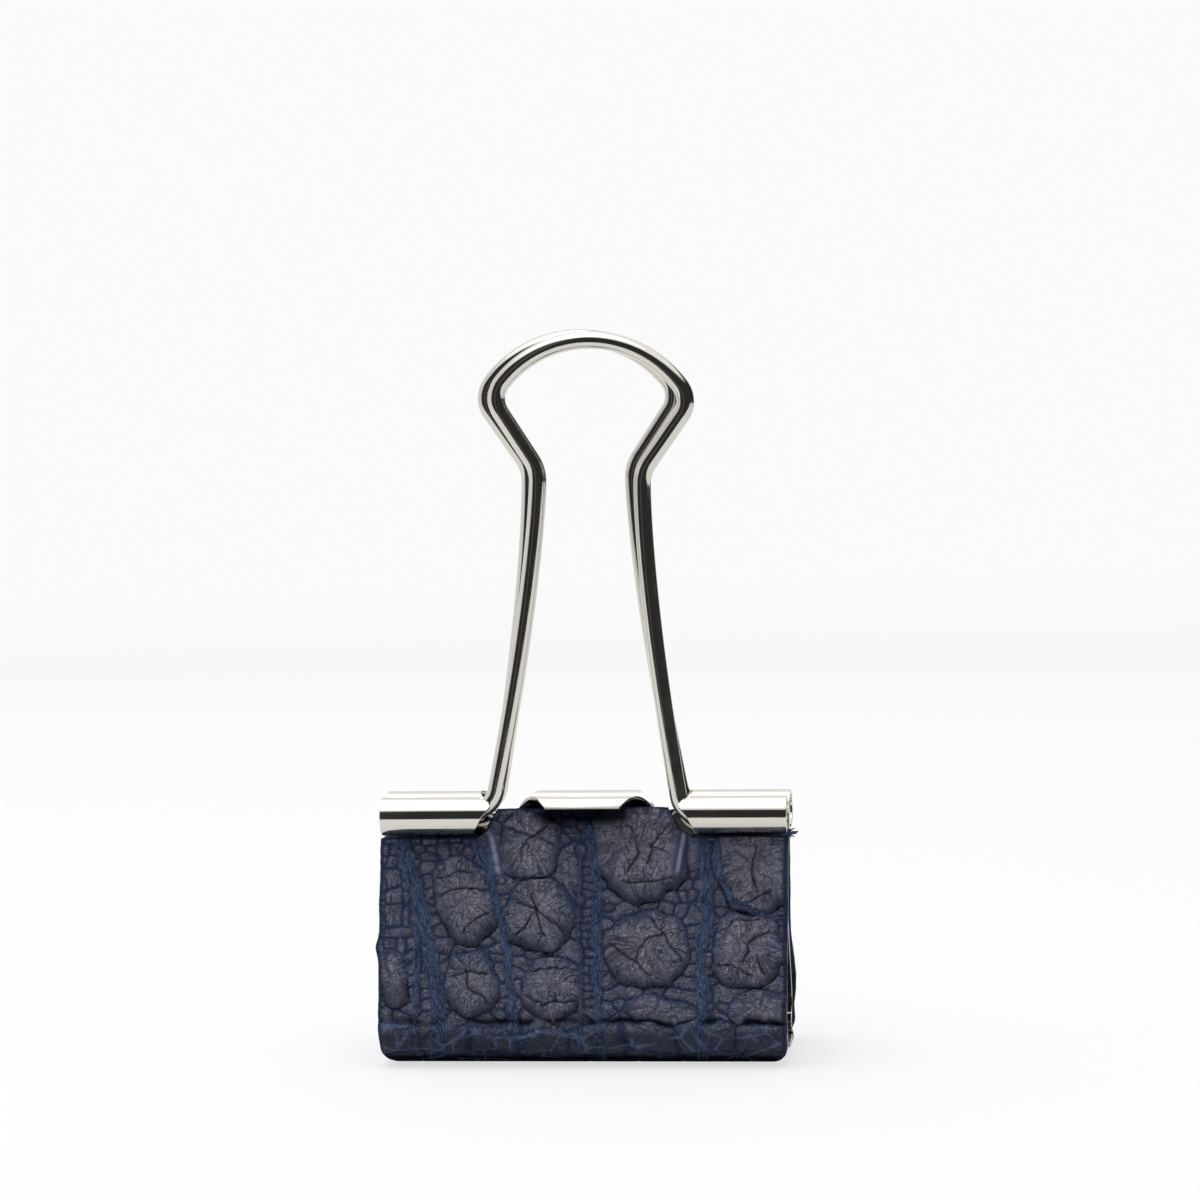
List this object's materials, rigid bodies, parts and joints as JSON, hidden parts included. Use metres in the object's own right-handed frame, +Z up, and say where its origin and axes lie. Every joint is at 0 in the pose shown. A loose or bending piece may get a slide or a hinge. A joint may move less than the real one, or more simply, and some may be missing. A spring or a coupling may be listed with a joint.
{
  "type": "binder clip",
  "caption": "Foldback binder clip: bent spring-steel strip with rolled jaw tubes, folding wire handles and a glued grained-leather cover, standing on its spine.",
  "frame": {"origin": "middle of the flat underside of the leather-covered spine, on the surface that the clip stands on", "axes": "+X along the jaws, -Y to the front, +Z up through the upright handles"},
  "size_m": [0.032, 0.0142, 0.057],
  "materials": {
    "nickel_strip": "bright nickel plate on spring steel",
    "nickel_wire": "bright nickel plate on drawn steel wire",
    "navy_leather": "dyed navy scale-grain leather, satin"
  },
  "bodies": {
    "base": {"spine": "nickel_strip", "spine_leather": "navy_leather"},
    "front_jaw": {"front_jaw": "nickel_strip", "front_leather": "navy_leather"},
    "rear_jaw": {"rear_jaw": "nickel_strip", "rear_leather": "navy_leather"},
    "front_handle": {"front_handle": "nickel_wire"},
    "rear_handle": {"rear_handle": "nickel_wire"}
  },
  "joints": [
    {"name": "front_jaw_open", "type": "hinge", "parent": "base", "child": "front_jaw", "pos_m": [0, -0.00571, 0.00428], "axis": [1, 0, 0], "range_deg": [0, 25], "stiffness_Nm_per_rad": 0.05, "springref_deg": -11.46},
    {"name": "rear_jaw_open", "type": "hinge", "parent": "base", "child": "rear_jaw", "pos_m": [0, 0.00571, 0.00428], "axis": [-1, 0, 0], "range_deg": [0, 25], "stiffness_Nm_per_rad": 0.05, "springref_deg": -11.46},
    {"name": "front_handle_fold", "type": "hinge", "parent": "front_jaw", "child": "front_handle", "pos_m": [0, -0.00165, 0.0191], "axis": [1, 0, 0], "range_deg": [0, 150]},
    {"name": "rear_handle_fold", "type": "hinge", "parent": "rear_jaw", "child": "rear_handle", "pos_m": [0, 0.00165, 0.0191], "axis": [-1, 0, 0], "range_deg": [0, 150]}
  ],
  "couplings": [
    {"joint": "rear_jaw_open", "follows": "front_jaw_open", "ratio": 1}
  ]
}
